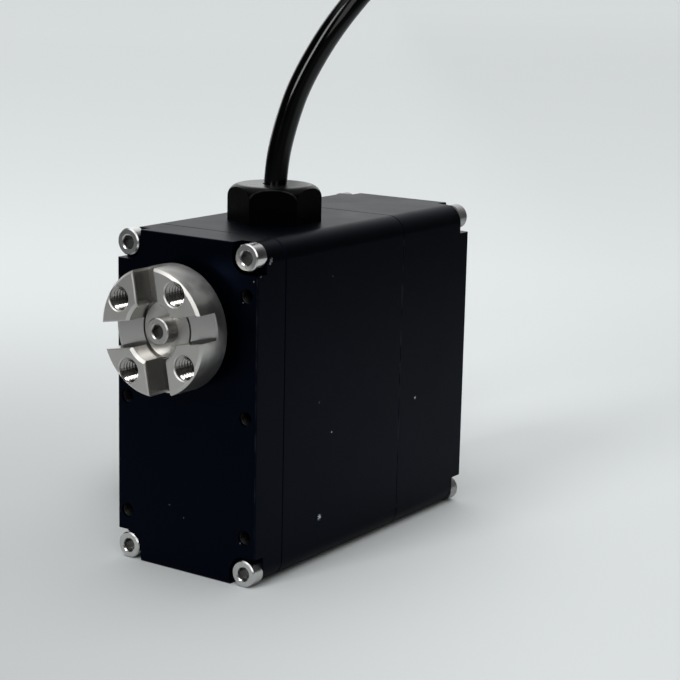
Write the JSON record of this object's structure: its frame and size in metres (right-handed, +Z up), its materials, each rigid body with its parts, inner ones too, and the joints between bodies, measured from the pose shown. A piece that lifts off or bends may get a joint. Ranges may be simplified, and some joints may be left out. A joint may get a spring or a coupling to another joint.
{
  "type": "underwater servo",
  "caption": "Sealed box-shaped servo actuator with a slotted round output horn, tapped face holes, a cable gland and a put-away cable with plug.",
  "frame": {"origin": "centre of the housing's bottom face", "axes": "+X to the right seen from the horn side, +Y from the horn towards the rear cover, +Z up towards the cable gland"},
  "size_m": [0.0604, 0.1077, 0.121],
  "materials": {
    "black_anodised": "black anodised, satin",
    "clear_aluminium": "machined",
    "stainless": "satin turned stainless steel",
    "bright_steel": "bright stainless steel",
    "bearing_steel": "polished bearing steel",
    "gear_steel": "cut gear steel",
    "brass": "turned brass",
    "nitrile": "black nitrile rubber",
    "cable_jacket": "smooth black cable jacket",
    "black_plastic": "moulded black plastic",
    "resin": "cast epoxy resin",
    "board": "glass-fibre circuit board",
    "ferrite": "sintered magnet",
    "carbon": "pressed carbon",
    "copper": "enamelled copper wire",
    "lead_insulation": "soft lead insulation",
    "hook_strap": "woven hook-and-loop strap"
  },
  "bodies": {
    "housing": {"front_cover": "black_anodised", "main_housing": "black_anodised", "rear_cover": "black_anodised", "front_cover_seal": "nitrile", "rear_cover_seal": "nitrile", "front_cover_screws": "bright_steel", "rear_cover_screws": "bright_steel", "shaft_seal": "nitrile", "front_bearing_outer_ring": "bearing_steel", "rear_bearing_outer_ring": "bearing_steel", "long_gear_pin": "bright_steel", "short_gear_pin": "bright_steel", "gear_plate": "clear_aluminium", "plate_standoffs": "clear_aluminium", "plate_screws": "bright_steel", "motor_can": "bright_steel", "motor_front_bush": "brass", "motor_magnets": "ferrite", "motor_end_cap": "black_plastic", "motor_brushes": "carbon", "motor_screws": "bright_steel", "encoder_board": "board", "encoder_chip": "black_plastic", "encoder_screws": "bright_steel", "control_board": "board", "board_components": "black_plastic", "lead_socket": "black_plastic", "board_screws": "bright_steel", "motor_leads": "lead_insulation", "encoder_ribbon": "lead_insulation", "cable_leads": "lead_insulation", "gland_body": "black_anodised", "gland_oring": "nitrile", "gland_nut": "black_anodised", "gland_potting": "resin", "cable": "cable_jacket", "cable_hank": "cable_jacket", "hank_tie": "hook_strap", "plug_sleeve": "cable_jacket", "plug_leads": "lead_insulation", "servo_plug": "black_plastic", "plug_contacts": "brass"},
    "output": {"output_shaft": "stainless", "output_horn": "stainless", "clamp_washer": "stainless", "horn_screw": "bright_steel", "output_gear": "gear_steel", "encoder_magnet": "ferrite", "front_bearing_inner_ring": "bearing_steel", "rear_bearing_inner_ring": "bearing_steel"},
    "third_gear": {"third_reduction_gear": "gear_steel"},
    "second_gear": {"second_reduction_gear": "gear_steel"},
    "first_gear": {"first_reduction_gear": "gear_steel"},
    "rotor": {"motor_shaft": "bright_steel", "motor_pinion": "brass", "motor_armature": "gear_steel", "armature_windings": "copper", "motor_commutator": "copper"},
    "front_ball_set": {"front_bearing_balls": "bearing_steel"},
    "rear_ball_set": {"rear_bearing_balls": "bearing_steel"}
  },
  "joints": [
    {"name": "output_turn", "type": "hinge", "parent": "housing", "child": "output", "pos_m": [0, -0.025, 0.0423], "axis": [0, -1, 0], "range_deg": [-100, 80]},
    {"name": "third_turn", "type": "hinge", "parent": "housing", "child": "third_gear", "pos_m": [0, -0.025, 0.0315], "axis": [0, -1, 0], "range_deg": [-242.4, 303]},
    {"name": "second_turn", "type": "hinge", "parent": "housing", "child": "second_gear", "pos_m": [0, -0.025, 0.0207], "axis": [0, -1, 0], "range_deg": [-909, 727.2]},
    {"name": "first_turn", "type": "hinge", "parent": "housing", "child": "first_gear", "pos_m": [0, -0.025, 0.0315], "axis": [0, -1, 0], "range_deg": [-2545.2, 3181.5]},
    {"name": "motor_spin", "type": "hinge", "parent": "housing", "child": "rotor", "pos_m": [0, -0.025, 0.02205], "axis": [0, -1, 0], "range_deg": [-11135.25, 8908.2]},
    {"name": "front_balls_roll", "type": "hinge", "parent": "housing", "child": "front_ball_set", "pos_m": [0, -0.025, 0.0423], "axis": [0, -1, 0], "range_deg": [-42.08, 33.67]},
    {"name": "rear_balls_roll", "type": "hinge", "parent": "housing", "child": "rear_ball_set", "pos_m": [0, -0.025, 0.0423], "axis": [0, -1, 0], "range_deg": [-38.85, 31.08]}
  ],
  "couplings": [
    {"joint": "third_turn", "follows": "output_turn", "ratio": -3},
    {"joint": "second_turn", "follows": "output_turn", "ratio": 9},
    {"joint": "first_turn", "follows": "output_turn", "ratio": -31.5},
    {"joint": "motor_spin", "follows": "output_turn", "ratio": 110.25},
    {"joint": "front_balls_roll", "follows": "output_turn", "ratio": 0.41667},
    {"joint": "rear_balls_roll", "follows": "output_turn", "ratio": 0.38461}
  ]
}
